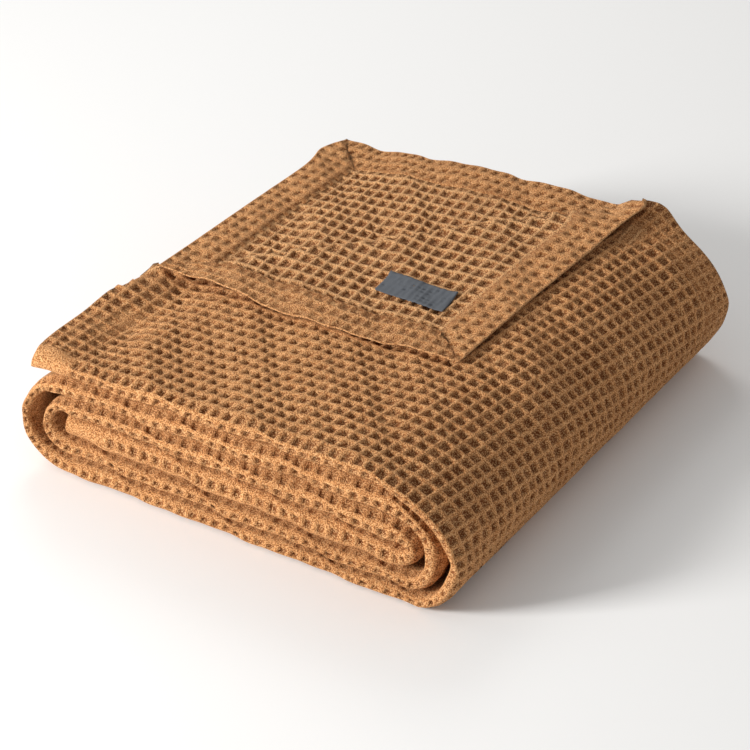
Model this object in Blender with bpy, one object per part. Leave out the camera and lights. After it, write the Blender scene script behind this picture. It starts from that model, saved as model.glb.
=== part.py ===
"""Waffle weave cotton blanket, folded in quarters to a strip and wound flat.

The cloth is folded twice across its width into a strip of four leaves. The
strip is wound in a flat spiral of six runs, with its outer end on top at the
left. The far left corner of the top leaf is turned back over itself along a
diagonal, and a woven label lies on the turned corner.

X runs along the near folded face, Y away from it and Z up. The origin is the
middle of the lowest face of the object's box. Lengths are in metres.
"""
from collections import namedtuple
import math

import bmesh
import bpy
from mathutils import Vector
from mathutils.bvhtree import BVHTree

# The cloth, and the strip that two folds across its width make.
CLOTH_WIDTH = 1.68
LEAVES = 4
STRIP_DEPTH = CLOTH_WIDTH / LEAVES
CLOTH_THICK = 0.0022

# The strip's runs from its outer end inwards. A run is a level stretch of the
# spiral: its ends in X, its middle height and its thickness at each end, and
# how far its near fold stands back from the front of the pile.
Run = namedtuple("Run", "left right z_left z_right thick_left thick_right back")
TOP_1 = Run(0.0050, 0.2870, 0.0940, 0.0968, 0.0170, 0.0142, 0.0)
BOTTOM_1 = Run(0.0340, 0.3380, 0.0079, 0.00525, 0.0158, 0.0105, 0.0005)
TOP_2 = Run(0.0340, 0.3060, 0.0762, 0.0765, 0.0148, 0.0185, 0.0015)
BOTTOM_2 = Run(0.0410, 0.3200, 0.02375, 0.0171, 0.0135, 0.0110, 0.0020)
TOP_3 = Run(0.0410, 0.3180, 0.0610, 0.0553, 0.0135, 0.0195, 0.0010)
CORE = Run(0.0330, 0.3180, 0.0423, 0.0333, 0.0212, 0.0195, 0.0030)
RUNS = (TOP_1, BOTTOM_1, TOP_2, BOTTOM_2, TOP_3, CORE)
RUN_STEPS = (8, 3, 3, 3, 3, 3)

# The turns between the runs: the tip's place and the strip's thickness there.
Turn = namedtuple("Turn", "tip_x tip_z thick")
RIGHT_1 = Turn(0.3685, 0.0460, 0.0125)
LEFT_1 = Turn(-0.0040, 0.0400, 0.0105)
RIGHT_2 = Turn(0.3480, 0.0460, 0.0115)
LEFT_2 = Turn(0.0162, 0.0420, 0.0115)
RIGHT_3 = Turn(0.3345, 0.0443, 0.0135)
TURNS = (RIGHT_1, LEFT_1, RIGHT_2, LEFT_2, RIGHT_3)
QUARTER_STEPS = (6, 4, 4, 4, 3)

# The folds along the strip's two long sides.
NEAR_FOLD = 0.0110
INNER_FOLD_AT = 0.0170
INNER_FOLD = 0.0030
FAR_FOLD_AT = STRIP_DEPTH - 0.0060
FAR_FOLD = 0.0030
LEAF_SAMPLES = (0.09, 0.20, 0.31)
SECOND_LEAF_SAMPLES = (0.08, 0.14, 0.21, 0.28, 0.35, 0.418)

# The turned-back corner of the top leaf.
CORNER = TOP_1.right - TOP_1.left
CORNER_STEPS = RUN_STEPS[0]
CORNER_STEP = CORNER / CORNER_STEPS
CORNER_FROM = STRIP_DEPTH - CORNER
EXTRA_ROWS = 2
BEND_ROWS = 2
BEND_SMALL = 0.0026
BEND_LARGE = 0.0042
FLAP_GAP = 0.0012
FLAP_SETTLES = 0.035
FLAP_BOW = 0.010
FLAP_BOW_FROM = 0.05

# How the soft pile stands unevenly. Its far side leans right and is higher, by
# a share of the height that changes along X.
Lift = namedtuple("Lift", "x share")
FAR_LIFTS = (Lift(0.000, 0.085), Lift(0.220, 0.165), Lift(0.300, 0.150), Lift(0.375, 0.030))
PILE_HEIGHT = 0.104
FAR_LEAN = 0.008
SWELL = 0.010
SWELL_LENGTH = 0.19
SWELL_DEPTH = 0.23
# The rounding of the outer end's two corners: how far each is drawn in, how far
# along X it reaches, and over what depth.
NEAR_ROUNDED = 0.010
FAR_ROUNDED = 0.005
ROUNDED_LENGTH = 0.020
NEAR_ROUNDED_DEPTH = 0.014
FAR_ROUNDED_DEPTH = 0.018

# The woven label.
LABEL_LENGTH = 0.060
LABEL_WIDTH = 0.030
LABEL_THICK = 0.0008
LABEL_AT = (0.208, 0.217)
LABEL_CLEARANCE = 0.0005

CLOTH_COLOUR = (0.45, 0.20, 0.065, 1.0)
LABEL_COLOUR = (0.075, 0.085, 0.097, 1.0)

# A place along the strip: its middle, outward direction, thickness and setback.
Station = namedtuple("Station", "x z nx nz thick back")
# A place across the strip: distance from the front, height in the strip, the
# direction of the cloth's right side, and its row on the top leaf, if there.
Place = namedtuple("Place", "y n side_y side_n row")


def blend(a, b, share):
    return a + (b - a) * share


def run_stations(run, steps, rightward):
    """The stations of one run, in the strip's own direction."""
    facing = 1.0 if rightward else -1.0
    stations = []
    for step in range(steps + 1):
        share = step / steps if rightward else 1.0 - step / steps
        stations.append(Station(
            blend(run.left, run.right, share), blend(run.z_left, run.z_right, share),
            0.0, facing, blend(run.thick_left, run.thick_right, share), run.back))
    return stations


def run_end(run, rightward):
    """X, height and thickness where the run meets a turn at its right or left."""
    if rightward:
        return run.right, run.z_right, run.thick_right
    return run.left, run.z_left, run.thick_left


def quarter_station(run, turn, rightward, angle):
    """A station on the quarter ellipse between a run's end and a turn's tip."""
    facing = 1.0 if rightward else -1.0
    x_end, z_end, thick_end = run_end(run, rightward)
    length = abs(turn.tip_x - x_end)
    height = abs(turn.tip_z - z_end)
    sine = math.sin(angle)
    cosine = math.cos(angle)
    size = math.hypot(height * sine, length * cosine)
    return Station(
        x_end + facing * length * sine, turn.tip_z + facing * height * cosine,
        facing * height * sine / size, facing * length * cosine / size,
        blend(thick_end, turn.thick, abs(sine)), run.back)


def turn_stations(before, turn, after, steps, rightward):
    """The stations between two runs, the ends of the runs left out."""
    stations = []
    for step in range(1, 2 * steps):
        run = before if step <= steps else after
        angle = math.pi * step / (2 * steps)
        station = quarter_station(run, turn, rightward, angle)
        back = blend(before.back, after.back, step / (2 * steps))
        stations.append(station._replace(back=back))
    return stations


def strip_stations():
    """The whole spiral, from the outer end on top to the inner end in the core."""
    stations = []
    for index, run in enumerate(RUNS):
        rightward = index % 2 == 0
        stations += run_stations(run, RUN_STEPS[index], rightward)
        if index < len(TURNS):
            stations += turn_stations(
                run, TURNS[index], RUNS[index + 1], QUARTER_STEPS[index], rightward)
    return stations


def top_leaf_row(row):
    """The distance from the front of a row of the top leaf."""
    return CORNER_FROM + row * CORNER_STEP


def leaf_places(samples, n, side_n):
    """A flat leaf of the strip, with its right side up or down."""
    return [Place(y, n, 0.0, side_n, None) for y in samples]


def fold_places(centre, depth, low, high, steps, towards):
    """A half ellipse that joins two leaves at one side of the strip."""
    middle = (low + high) / 2.0
    reach = (high - low) / 2.0
    places = []
    for step in range(steps + 1):
        angle = math.pi * (step / steps - 0.5)
        sine = math.sin(angle)
        cosine = math.cos(angle)
        size = math.hypot(reach * cosine, depth * sine)
        places.append(Place(centre + towards * depth * cosine, middle + reach * sine,
                            reach * cosine / size, towards * depth * sine / size, None))
    return places


def section_places(thick):
    """The cloth's middle line across the strip, from the top leaf's hem inwards."""
    pitch = (thick - CLOTH_THICK) / (LEAVES - 1)
    outer, second, third, inner = [(1.5 - leaf) * pitch for leaf in range(LEAVES)]
    rows = range(CORNER_STEPS, -EXTRA_ROWS - 1, -1)
    places = [Place(top_leaf_row(row), outer, 0.0, 1.0, row) for row in rows]
    places += fold_places(NEAR_FOLD, NEAR_FOLD - CLOTH_THICK / 2.0, outer, inner, 6, -1.0)
    places += leaf_places(LEAF_SAMPLES, inner, -1.0)
    places += fold_places(FAR_FOLD_AT, FAR_FOLD, inner, third, 4, 1.0)
    places += leaf_places(reversed(LEAF_SAMPLES), third, 1.0)
    places += fold_places(INNER_FOLD_AT, INNER_FOLD, third, second, 4, -1.0)
    places += leaf_places(SECOND_LEAF_SAMPLES, second, -1.0)
    return places


def far_lift(x):
    """The share by which the pile is higher at its far side."""
    for before, after in zip(FAR_LIFTS, FAR_LIFTS[1:]):
        if x < after.x:
            share = max(x - before.x, 0.0) / (after.x - before.x)
            return blend(before.share, after.share, share * share * (3.0 - 2.0 * share))
    return FAR_LIFTS[-1].share


def rounding(x, y, height):
    """How far the outer end's corners are drawn in, only near the pile's top."""
    ends = (NEAR_ROUNDED * math.exp(-max(y, 0.0) / NEAR_ROUNDED_DEPTH)
            + FAR_ROUNDED * math.exp((y - STRIP_DEPTH) / FAR_ROUNDED_DEPTH))
    return ends * math.exp((TOP_1.left - x) / ROUNDED_LENGTH) * height ** 4


def settle(x, y, z):
    """The soft pile's unevenness, which leaves its flat underside where it is."""
    far = (max(y, 0.0) / STRIP_DEPTH) ** 2
    height = z / PILE_HEIGHT
    swell = SWELL * math.sin(math.tau * x / SWELL_LENGTH) * math.sin(math.tau * y / SWELL_DEPTH)
    return Vector((x + FAR_LEAN * far * height + rounding(x, y, height), y,
                   z * (1.0 + far * far_lift(x) + swell)))


def strip_point(station, y, n):
    """A point at a distance from the front and a height within the strip."""
    y_back = y + station.back * (1.0 - y / STRIP_DEPTH)
    return settle(station.x + station.nx * n, y_back, station.z + station.nz * n)


def top_leaf_height(x):
    """The height of the top leaf's middle over a place in X."""
    share = (x - TOP_1.left) / (TOP_1.right - TOP_1.left)
    thick = blend(TOP_1.thick_left, TOP_1.thick_right, share)
    return blend(TOP_1.z_left, TOP_1.z_right, share) + (thick - CLOTH_THICK) / 2.0


def bend_radius(share):
    """The diagonal bend's radius, which grows from the left edge to the far edge."""
    return blend(BEND_SMALL, BEND_LARGE, share * share)


def flap_bow(column, row):
    """How far the turned corner's front edge is drawn back, least at its middle."""
    share = row / CORNER_STEPS - FLAP_BOW_FROM
    return FLAP_BOW * 0.5 * (1.0 + math.cos(math.tau * share)) * (1.0 - column / row)


def turned_point(column, row, side):
    """A point on the turned-back corner: side is half the cloth, or minus that."""
    past = row - column
    if past > BEND_ROWS:
        x = TOP_1.left + row * CORNER_STEP
        y = CORNER_FROM + column * CORNER_STEP + flap_bow(column, row)
        radius = bend_radius((row + column) / (2.0 * CORNER_STEPS))
        resting = CLOTH_THICK + FLAP_GAP
        away = past * CORNER_STEP / math.sqrt(2.0)
        rise = resting + (2.0 * radius - resting) * math.exp(-away / FLAP_SETTLES)
        return settle(x, y, top_leaf_height(x) + rise - side)
    share = column / (CORNER_STEPS - past)
    radius = bend_radius(share)
    angle = math.pi * (past + BEND_ROWS) / (2.0 * BEND_ROWS)
    inset = radius * (1.0 - math.sin(angle)) / math.sqrt(2.0)
    if past <= 0:
        along = blend(-inset, CORNER + inset, share)
    else:
        along = blend(inset, CORNER - inset, share)
    inward = inset + side * math.sin(angle) / math.sqrt(2.0)
    x = TOP_1.left + along + inward
    y = CORNER_FROM + along - inward
    lift = radius * (1.0 - math.cos(angle)) + side * math.cos(angle)
    return settle(x, y, top_leaf_height(x) + lift)


def is_turned(column, row):
    """Whether a point of the top leaf lies in the bend or on the turned corner."""
    return row is not None and row - column >= -BEND_ROWS


def cloth_ring(column, station):
    """Both faces of the cloth across the strip, as one closed ring of points."""
    half = CLOTH_THICK / 2.0
    faces = []
    for side in (half, -half):
        face = []
        for place in section_places(station.thick):
            if is_turned(column, place.row):
                face.append(turned_point(column, place.row, side))
            else:
                face.append(strip_point(
                    station, place.y + place.side_y * side, place.n + place.side_n * side))
        faces.append(face)
    return faces[0] + faces[1][::-1]


def cloth_mesh():
    """The folded cloth as one closed solid."""
    mesh = bmesh.new()
    rings = []
    for column, station in enumerate(strip_stations()):
        rings.append([mesh.verts.new(point) for point in cloth_ring(column, station)])
    count = len(rings[0])
    for ring, after in zip(rings, rings[1:]):
        for index in range(count):
            other = (index + 1) % count
            # The diagonals run along the turned corner's bend, on both faces.
            if index < count // 2:
                mesh.faces.new((ring[index], ring[other], after[index]))
                mesh.faces.new((ring[other], after[other], after[index]))
            else:
                mesh.faces.new((ring[index], ring[other], after[other]))
                mesh.faces.new((ring[index], after[other], after[index]))
    for ring in (rings[0], rings[-1]):
        for index in range(count // 2 - 1):
            opposite = count - 1 - index
            mesh.faces.new((ring[index], ring[index + 1], ring[opposite - 1], ring[opposite]))
    bmesh.ops.triangulate(mesh, faces=mesh.faces)
    bmesh.ops.recalc_face_normals(mesh, faces=mesh.faces)
    return mesh


def label_mesh(cloth):
    """A thin plate that follows the turned corner just above its surface."""
    surface = BVHTree.FromBMesh(cloth)
    mesh = bmesh.new()
    bmesh.ops.create_cube(mesh, size=1.0)
    bmesh.ops.subdivide_edges(mesh, edges=mesh.edges, cuts=1, use_grid_fill=True)
    for vert in mesh.verts:
        x = LABEL_AT[0] + vert.co.x * LABEL_LENGTH
        y = LABEL_AT[1] + vert.co.y * LABEL_WIDTH
        hit = surface.ray_cast(Vector((x, y, 2.0 * PILE_HEIGHT)), Vector((0.0, 0.0, -1.0)))[0]
        z = hit.z + LABEL_CLEARANCE + (vert.co.z + 0.5) * LABEL_THICK
        vert.co = Vector((x, y, z))
    return mesh


def material(name, colour, roughness):
    """A plain finish for one piece."""
    finish = bpy.data.materials.new(name)
    finish.use_nodes = True
    shader = finish.node_tree.nodes["Principled BSDF"]
    shader.inputs["Base Color"].default_value = colour
    shader.inputs["Roughness"].default_value = roughness
    shader.inputs["Metallic"].default_value = 0.0
    return finish


def add_piece(name, mesh, finish, shift):
    """A named object from a mesh, moved into the object's frame."""
    bmesh.ops.translate(mesh, verts=mesh.verts, vec=shift)
    data = bpy.data.meshes.new(name)
    mesh.to_mesh(data)
    mesh.free()
    data.materials.append(finish)
    piece = bpy.data.objects.new(name, data)
    bpy.context.collection.objects.link(piece)


def frame_shift(mesh):
    """The move that puts the middle of the lowest face of the box at the origin."""
    low = [min(vert.co[axis] for vert in mesh.verts) for axis in range(3)]
    high = [max(vert.co[axis] for vert in mesh.verts) for axis in range(3)]
    return Vector((-(low[0] + high[0]) / 2.0, -(low[1] + high[1]) / 2.0, -low[2]))


for old in list(bpy.data.objects):
    bpy.data.objects.remove(old)
cloth = cloth_mesh()
label = label_mesh(cloth)
to_frame = frame_shift(cloth)
add_piece("blanket", cloth, material("cotton waffle", CLOTH_COLOUR, 0.9), to_frame)
add_piece("label", label, material("woven label", LABEL_COLOUR, 0.7), to_frame)
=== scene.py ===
"""A waffle weave cotton blanket, folded in quarters, wound flat, one corner turned back.

All lengths are in metres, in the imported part's frame: X along the near folded
face, Y away from it and Z up.
"""
from collections import namedtuple
import math

import bmesh
import bpy
import numpy as np
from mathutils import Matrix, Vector
from mathutils.bvhtree import BVHTree


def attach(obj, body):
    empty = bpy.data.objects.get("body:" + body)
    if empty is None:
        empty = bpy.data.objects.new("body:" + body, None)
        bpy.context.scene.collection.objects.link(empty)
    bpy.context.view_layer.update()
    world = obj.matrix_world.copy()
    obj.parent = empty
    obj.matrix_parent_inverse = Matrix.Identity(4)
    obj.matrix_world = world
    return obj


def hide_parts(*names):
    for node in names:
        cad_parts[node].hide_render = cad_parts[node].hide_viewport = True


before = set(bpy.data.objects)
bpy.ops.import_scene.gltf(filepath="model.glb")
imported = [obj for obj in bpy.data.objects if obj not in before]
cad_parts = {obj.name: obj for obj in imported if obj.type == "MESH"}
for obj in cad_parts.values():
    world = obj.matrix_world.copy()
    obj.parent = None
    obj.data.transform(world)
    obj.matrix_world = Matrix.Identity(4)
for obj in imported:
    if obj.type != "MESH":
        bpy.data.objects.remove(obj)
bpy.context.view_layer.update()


# The blanket is one piece of waffle weave cotton, folded twice across its width
# to a strip of four leaves. The strip is wound flat in six runs from its outer
# end, on top at the left, and lies loose. Its sizes are those of the solid.
STRIP_DEPTH = 0.420
CLOTH_THICK = 0.0022
STRIP_AT = (-0.18456, -0.21039, 0.0)

Run = namedtuple("Run", "left right z_left z_right thick_left thick_right back")
RUNS = (
    Run(0.0050, 0.2870, 0.0940, 0.0968, 0.0170, 0.0142, 0.0),
    Run(0.0340, 0.3380, 0.0079, 0.00525, 0.0158, 0.0105, 0.0005),
    Run(0.0340, 0.3060, 0.0762, 0.0765, 0.0148, 0.0185, 0.0015),
    Run(0.0410, 0.3310, 0.02375, 0.0166, 0.0135, 0.0115, 0.0020),
    Run(0.0410, 0.3180, 0.0610, 0.0553, 0.0135, 0.0195, 0.0010),
    Run(0.0330, 0.3180, 0.0423, 0.0333, 0.0212, 0.0195, 0.0030),
)
TOP_RUN = RUNS[0]
Turn = namedtuple("Turn", "tip_x tip_z thick")
TURNS = (
    Turn(0.3685, 0.0460, 0.0130),
    Turn(-0.0040, 0.0400, 0.0105),
    Turn(0.3505, 0.0415, 0.0148),
    Turn(0.0162, 0.0420, 0.0115),
    Turn(0.3345, 0.0443, 0.0135),
)
STEPS_IN_RUN = 60
STEPS_IN_QUARTER = 30


def mix(a, b, share):
    return a + (b - a) * share


def ease(value):
    """A share from 0 to 1 with soft ends."""
    share = np.clip(value, 0.0, 1.0)
    return share * share * (3.0 - 2.0 * share)


def run_row(run, share, facing):
    """A row on a run: x, z, outward direction, thickness and setback."""
    return (mix(run.left, run.right, share), mix(run.z_left, run.z_right, share), 0.0, facing,
            mix(run.thick_left, run.thick_right, share), run.back)


def turn_row(before, turn, after, share, facing):
    """A row on the two quarter ellipses between a run's end and the next run's."""
    run = before if share <= 0.5 else after
    end = run_row(run, 1.0 if facing > 0.0 else 0.0, facing)
    sine, cosine = math.sin(math.pi * share), math.cos(math.pi * share)
    length, height = abs(turn.tip_x - end[0]), abs(turn.tip_z - end[1])
    size = math.hypot(height * sine, length * cosine)
    return (end[0] + facing * length * sine, turn.tip_z + facing * height * cosine,
            facing * height * sine / size, facing * length * cosine / size,
            mix(end[4], turn.thick, abs(sine)), mix(before.back, after.back, share))


def strip_rows():
    """The strip's middle line, row by row from its outer end to its inner end."""
    rows = []
    for index, run in enumerate(RUNS):
        facing = 1.0 if index % 2 == 0 else -1.0
        for step in range(STEPS_IN_RUN + 1):
            share = step / STEPS_IN_RUN
            rows.append(run_row(run, share if facing > 0.0 else 1.0 - share, facing))
        if index < len(TURNS):
            for step in range(1, 2 * STEPS_IN_QUARTER):
                share = step / (2 * STEPS_IN_QUARTER)
                rows.append(turn_row(run, TURNS[index], RUNS[index + 1], share, facing))
    return np.array(rows)


STRIP = strip_rows()
OUTER_LEAF = STRIP[:, :2] + STRIP[:, 2:4] * (STRIP[:, 4:5] - CLOTH_THICK) / 2.0
STRIP_S = np.concatenate(([0.0], np.cumsum(np.hypot(*np.diff(OUTER_LEAF, axis=0).T))))
LENGTH = STRIP_S[-1]

# The four leaves, from the top one inwards, with the three folds between them.
# The first and the last leaf end in the blanket's long hems, at the far side.
# Levels are counted in the leaves' spacing, from the middle of the strip.
LEAVES = 4
OUTER_LEVEL = (LEAVES - 1) / 2.0
INNER_LEVEL = OUTER_LEVEL - 1.0
FAR_FOLD_LEVEL = -(OUTER_LEVEL + INNER_LEVEL) / 2.0
NEAR_FOLD = 0.0110
NEAR_BULGE = NEAR_FOLD - CLOTH_THICK / 2.0
INNER_FOLD_AT = 0.0170
FAR_FOLD_AT = STRIP_DEPTH - 0.0060
SMALL_FOLD = 0.0030
NEAR_FOLD_LENGTH = 0.0250
SMALL_FOLD_LENGTH = 0.0075
STAGES = np.cumsum((
    0.0, STRIP_DEPTH - NEAR_FOLD, NEAR_FOLD_LENGTH, FAR_FOLD_AT - NEAR_FOLD, SMALL_FOLD_LENGTH,
    FAR_FOLD_AT - INNER_FOLD_AT, SMALL_FOLD_LENGTH, STRIP_DEPTH - INNER_FOLD_AT))
NEAR_START, NEAR_END, FAR_START, FAR_END, INNER_START, UNDER_START, WIDTH = STAGES[1:]


def across(w, thick):
    """Place and right-side direction across the strip, for distances across the cloth.

    Stages 1, 3 and 5 are the near, the far and the inner fold, and the others leaves.
    """
    pitch = (thick - CLOTH_THICK) / (LEAVES - 1)
    share = np.clip((w[..., None] - STAGES[:-1]) / np.diff(STAGES), 0.0, 1.0)
    stage = np.clip(np.searchsorted(STAGES, w, side="right") - 1, 0, len(STAGES) - 2)
    turn = math.pi * (share - 0.5)
    sine, cosine = np.sin(turn), np.cos(turn)
    near = (-cosine[..., 1] * OUTER_LEVEL * pitch, -sine[..., 1] * NEAR_BULGE)
    far = (cosine[..., 3] * INNER_LEVEL * pitch, sine[..., 3] * SMALL_FOLD)
    inner = (cosine[..., 5] * INNER_LEVEL * pitch, -sine[..., 5] * SMALL_FOLD)
    near, far, inner = [(a / np.hypot(a, b), b / np.hypot(a, b)) for a, b in (near, far, inner)]
    zero, one = np.zeros_like(w), np.ones_like(w)
    y = np.choose(stage, (
        STRIP_DEPTH - w, NEAR_FOLD - NEAR_BULGE * cosine[..., 1], NEAR_FOLD + w - NEAR_END,
        FAR_FOLD_AT + SMALL_FOLD * cosine[..., 3], FAR_FOLD_AT - w + FAR_END,
        INNER_FOLD_AT - SMALL_FOLD * cosine[..., 5], INNER_FOLD_AT + w - UNDER_START))
    n = pitch * np.choose(stage, (
        OUTER_LEVEL * one, -OUTER_LEVEL * sine[..., 1], -OUTER_LEVEL * one,
        FAR_FOLD_LEVEL + INNER_LEVEL * sine[..., 3], -INNER_LEVEL * one,
        INNER_LEVEL * sine[..., 5], INNER_LEVEL * one))
    side_y = np.choose(stage, (zero, near[0], zero, far[0], zero, inner[0], zero))
    side_n = np.choose(stage, (one, near[1], -one, far[1], one, inner[1], -one))
    return y, n, side_y, side_n


# How the soft pile lies under its own weight: higher and leaning right at its far
# side, rounded at the outer end, with that end's corners drawn in, a valley beside
# the left hem and slow waves over it all.
PILE_HEIGHT = 0.104
Lift = namedtuple("Lift", "x share")
FAR_LIFTS = (Lift(0.000, 0.085), Lift(0.220, 0.155), Lift(0.300, 0.145), Lift(0.375, 0.030))
FAR_LEAN = 0.008
# Where the top is pressed down, or stands up where sunk is negative.
Press = namedtuple("Press", "x y sunk drawn reach power")
PRESSES = (
    Press(0.000, 0.140, 0.0024, 0.0030, 0.014, 9),
    Press(0.000, 0.108, -0.0045, 0.0, 0.030, 9),
    Press(0.292, 0.420, 0.0035, 0.0, 0.045, 4),
    Press(0.291, 0.424, -0.0098, 0.0070, 0.027, 9),
)
PRESS_EDGE_POWER = 1.5
PRESS_HIGHEST = 0.988
SEAM_VALLEY = 0.0075
SEAM_VALLEY_AT = 0.046
SEAM_VALLEY_REACH = 0.020
SEAM_VALLEY_DEEPEST = 0.088
SEAM_VALLEY_LENGTH = 0.065
FAR_VALLEY = 0.0030
BULGE = 0.0095
BULGE_AT = 0.393
BULGE_REACH = 0.020
SWELL = 0.010
SWELL_LENGTH = 0.19
SWELL_DEPTH = 0.23
NEAR_ROUNDED = 0.010
NEAR_ROUNDED_DEPTH = 0.014
FAR_ROUNDED = 0.005
FAR_ROUNDED_DEPTH = 0.018
ROUNDED_LENGTH = 0.020
ROUNDED_HEIGHT_POWER = 4
Wave = namedtuple("Wave", "size length_x length_y length_z phase")
WAVES = (
    Wave(0.0006, 0.083, 0.110, 0.060, 0.7),
    Wave(0.0003, 0.047, 0.069, 0.041, 2.1),
    Wave(0.0003, 0.029, 0.031, 0.023, 4.0),
)
WAVES_FREE_AT = 0.125


def far_lift(x):
    """The share by which the pile's far side stands higher, along the strip."""
    lift = np.full_like(x, FAR_LIFTS[0].share)
    for before, after in zip(FAR_LIFTS, FAR_LIFTS[1:]):
        step = ease((x - before.x) / (after.x - before.x))
        lift = lift + (after.share - before.share) * step
    return lift


def settle(x, y, z):
    """Points of the pile as it lies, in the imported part's frame."""
    far = (np.maximum(y, 0.0) / STRIP_DEPTH) ** 2
    height = z / PILE_HEIGHT
    swell = SWELL * np.sin(math.tau * x / SWELL_LENGTH) * np.sin(math.tau * y / SWELL_DEPTH)
    rounded = (NEAR_ROUNDED * np.exp(-np.maximum(y, 0.0) / NEAR_ROUNDED_DEPTH)
               + FAR_ROUNDED * np.exp((y - STRIP_DEPTH) / FAR_ROUNDED_DEPTH))
    rounded = rounded - BULGE * np.exp(-((y - BULGE_AT) / BULGE_REACH) ** 2)
    rounded = rounded * np.exp((TOP_RUN.left - x) / ROUNDED_LENGTH) * height ** ROUNDED_HEIGHT_POWER
    for press in PRESSES:
        away = ((x - press.x) ** 2 + (y - press.y) ** 2) / press.reach ** 2
        near = np.exp(-away ** PRESS_EDGE_POWER)
        near = near * np.minimum(height, PRESS_HIGHEST) ** press.power
        rounded = rounded + press.drawn * near
        z = z - press.sunk * near
    deep = SEAM_VALLEY * np.exp(-((y - SEAM_VALLEY_DEEPEST) / SEAM_VALLEY_LENGTH) ** 2)
    deep = np.maximum(deep, FAR_VALLEY * ease((y - SEAM_VALLEY_DEEPEST) / SEAM_VALLEY_LENGTH))
    valley = np.exp(-((x - SEAM_VALLEY_AT) / SEAM_VALLEY_REACH) ** 2)
    z = z - deep * valley * np.minimum(height, 1.0) ** 2
    wave = sum(w.size * np.sin(math.tau * (x / w.length_x + y / w.length_y + z / w.length_z)
                               + w.phase) for w in WAVES)
    free = ease(height / WAVES_FREE_AT)
    return np.stack((STRIP_AT[0] + x + FAR_LEAN * far * height + rounded + wave * free,
                     STRIP_AT[1] + y + wave,
                     STRIP_AT[2] + z * (1.0 + far * far_lift(x) + swell) + wave * free), axis=-1)


# The turned-back corner of the top leaf, folded over loose along a diagonal. Its
# front edge bows back at both ends, its right edge stands off the pile, and the
# soft bend is tighter at its two ends.
CORNER = TOP_RUN.right - TOP_RUN.left
CORNER_FROM = STRIP_DEPTH - CORNER
BEND_SMALL = 0.0036
BEND_LARGE = 0.0042
BEND_START = 0.0018
BEND_START_POWER = 24
BEND_END = 0.0036
BEND_END_POWER = 8
BEND_END_FLAT = 0.8
BEND_END_REACH = 0.005
FLAP_REST = 0.0026
FLAP_SETTLES = 0.035
FLAP_BOW = 0.010
FLAP_BOW_FROM = 0.05
FLAP_BOW_NEAREST = 0.001
EDGE_LIFT = 0.0060
EDGE_LIFT_REACH = 0.030
EDGE_LIFT_FROM = 0.30
EDGE_LIFT_POWER = 4
EDGE_LIFT_ROLL = 0.015
EDGE_BOW = 0.014
EDGE_BOW_ROLL = 0.016
EDGE_BOW_POWER = 3
FRONT_LIFT = 0.0040
FRONT_LIFT_AT = 0.055
FRONT_LIFT_LENGTH = 0.034
FRONT_LIFT_REACH = 0.020


def top_leaf_height(x):
    """The height of the top leaf's middle, along the strip."""
    share = (x - TOP_RUN.left) / CORNER
    thick = mix(TOP_RUN.thick_left, TOP_RUN.thick_right, share)
    return mix(TOP_RUN.z_left, TOP_RUN.z_right, share) + (thick - CLOTH_THICK) / 2.0


def past_bend(c, r):
    """The distance past the middle of the diagonal bend, and the bend's radius."""
    share = np.clip((r + c) / (2.0 * CORNER), 0.0, 1.0)
    radius = mix(BEND_SMALL, BEND_LARGE, share * share) - BEND_END * share ** BEND_END_POWER
    radius = radius - BEND_START * (1.0 - share) ** BEND_START_POWER
    return (r - c) / math.sqrt(2.0), radius


def turned(c, r, side):
    """Points of the top leaf beyond its front strip: c along the strip, r across it."""
    past, radius = past_bend(c, r)
    quarter = math.pi * radius / 2.0
    angle = np.clip((past + quarter) / radius, 0.0, math.pi)
    away = np.maximum(past - quarter, 0.0)
    before = np.minimum(past + quarter, 0.0)
    place = before - quarter + (radius - side) * np.sin(angle) - away
    rise = radius - (radius - side) * np.cos(angle)
    rise = rise - (2.0 * radius - FLAP_REST) * (1.0 - np.exp(-away / FLAP_SETTLES))
    along = np.clip((c / CORNER - EDGE_LIFT_FROM) / (1.0 - EDGE_LIFT_FROM), 0.0, 1.0)
    hump = np.sin(math.pi * along ** EDGE_LIFT_POWER) ** 2
    lift = EDGE_LIFT * hump * np.exp((r - CORNER) / EDGE_LIFT_REACH)
    hump = np.exp(-((r - FRONT_LIFT_AT) / FRONT_LIFT_LENGTH) ** 2)
    lift = lift + FRONT_LIFT * hump * np.exp(-np.maximum(c, 0.0) / FRONT_LIFT_REACH)
    rise = rise + lift * ease(away / EDGE_LIFT_ROLL)
    rise = rise * (1.0 - BEND_END_FLAT * np.exp(-((CORNER - c) / BEND_END_REACH) ** 2))
    share = r / CORNER - FLAP_BOW_FROM
    bow = FLAP_BOW * 0.5 * (1.0 + np.cos(math.tau * share))
    bow = bow * (1.0 - np.clip(c / np.maximum(r, FLAP_BOW_NEAREST), 0.0, 1.0))
    bow_x = EDGE_BOW * (np.maximum(c, 0.0) / CORNER) ** EDGE_BOW_POWER * ease(away / EDGE_BOW_ROLL)
    x = TOP_RUN.left + (r + c) / 2.0 - place / math.sqrt(2.0) + bow_x * (r / CORNER) ** 2
    y = CORNER_FROM + (r + c) / 2.0 + place / math.sqrt(2.0) + bow
    return settle(x, y, top_leaf_height(x) + rise)


# The hems: every edge of the cloth is turned over to the wrong side and sewn
# down, with the raw edge tucked under and the corners mitred.
HEM = 0.037
HEM_RISE = 0.0020
HEM_TUCK = 0.0015


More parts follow.
